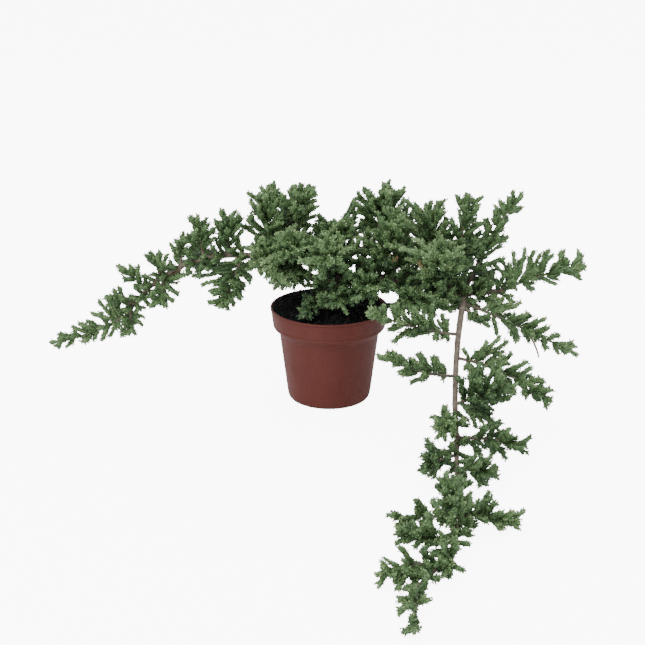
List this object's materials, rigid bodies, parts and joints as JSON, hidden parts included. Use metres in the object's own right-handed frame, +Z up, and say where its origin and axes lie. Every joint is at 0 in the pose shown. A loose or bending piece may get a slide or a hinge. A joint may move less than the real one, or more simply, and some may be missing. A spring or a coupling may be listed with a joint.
{
  "type": "juniper bonsai",
  "caption": "Young creeping juniper trained as a cascading bonsai, with a low crown, one bough to the left and one that trails forward, in a round plastic nursery pot filled with soil.",
  "frame": {"origin": "middle of the flat underside of the pot", "axes": "+Z up; the front of the plant, as in the picture, faces -Y, so +X is to the right as seen from the front"},
  "size_m": [0.4761, 0.459, 0.1956],
  "materials": {
    "pot_plastic": "terracotta-coloured moulded plastic, satin",
    "soil": "dark moist potting soil",
    "bark": "thin grey-brown bark, matt",
    "needles_deep": "dense awl-shaped needles, dark green",
    "needles_middle": "dense awl-shaped needles, mid green",
    "needles_bright": "young needles, light yellow-green"
  },
  "bodies": {
    "root": {"pot": "pot_plastic", "soil": "soil", "trunk": "bark", "left_bough": "bark", "right_bough": "bark", "crown_left_bough": "bark", "crown_right_bough": "bark", "back_bough": "bark", "trailing_bough": "bark", "trailing_bough_end": "bark", "left_tip": "needles_bright", "left_tip_upper": "needles_bright", "left_tip_lower": "needles_deep", "left_long_upper": "needles_middle", "left_mid_upper": "needles_middle", "left_mid_lower": "needles_deep", "left_tuft": "needles_middle", "left_crest": "needles_middle", "left_tall": "needles_deep", "left_loop": "needles_deep", "left_behind": "needles_deep", "crown_left_top": "needles_middle", "crown_left_outer": "needles_middle", "crown_left_front": "needles_middle", "crown_left_low": "needles_bright", "crown_centre": "needles_middle", "crown_front": "needles_bright", "crown_front_low": "needles_middle", "crown_droop": "needles_deep", "crown_right_front": "needles_middle", "crown_right_top": "needles_middle", "crown_right_mid": "needles_middle", "crown_right_outer": "needles_middle", "crown_back_left": "needles_deep", "crown_back": "needles_deep", "crown_back_right": "needles_deep", "right_fan": "needles_deep", "right_fan_outer": "needles_deep", "right_front": "needles_middle", "right_upper": "needles_middle", "right_upper_outer": "needles_middle", "right_far": "needles_bright", "right_behind": "needles_deep", "right_lower": "needles_bright", "right_small": "needles_deep", "trail_left_upper": "needles_middle", "trail_right_upper": "needles_middle", "trail_left_mid": "needles_middle", "trail_right_bushy": "needles_deep", "trail_ball": "needles_bright", "trail_right_mid": "needles_deep", "trail_left_small": "needles_deep", "trail_right_small": "needles_deep", "trail_front": "needles_middle", "trail_right_low": "needles_middle", "trail_left_low": "needles_middle", "trail_left_end": "needles_middle", "leader": "needles_bright", "leader_left": "needles_bright", "leader_right": "needles_middle"}
  },
  "joints": []
}
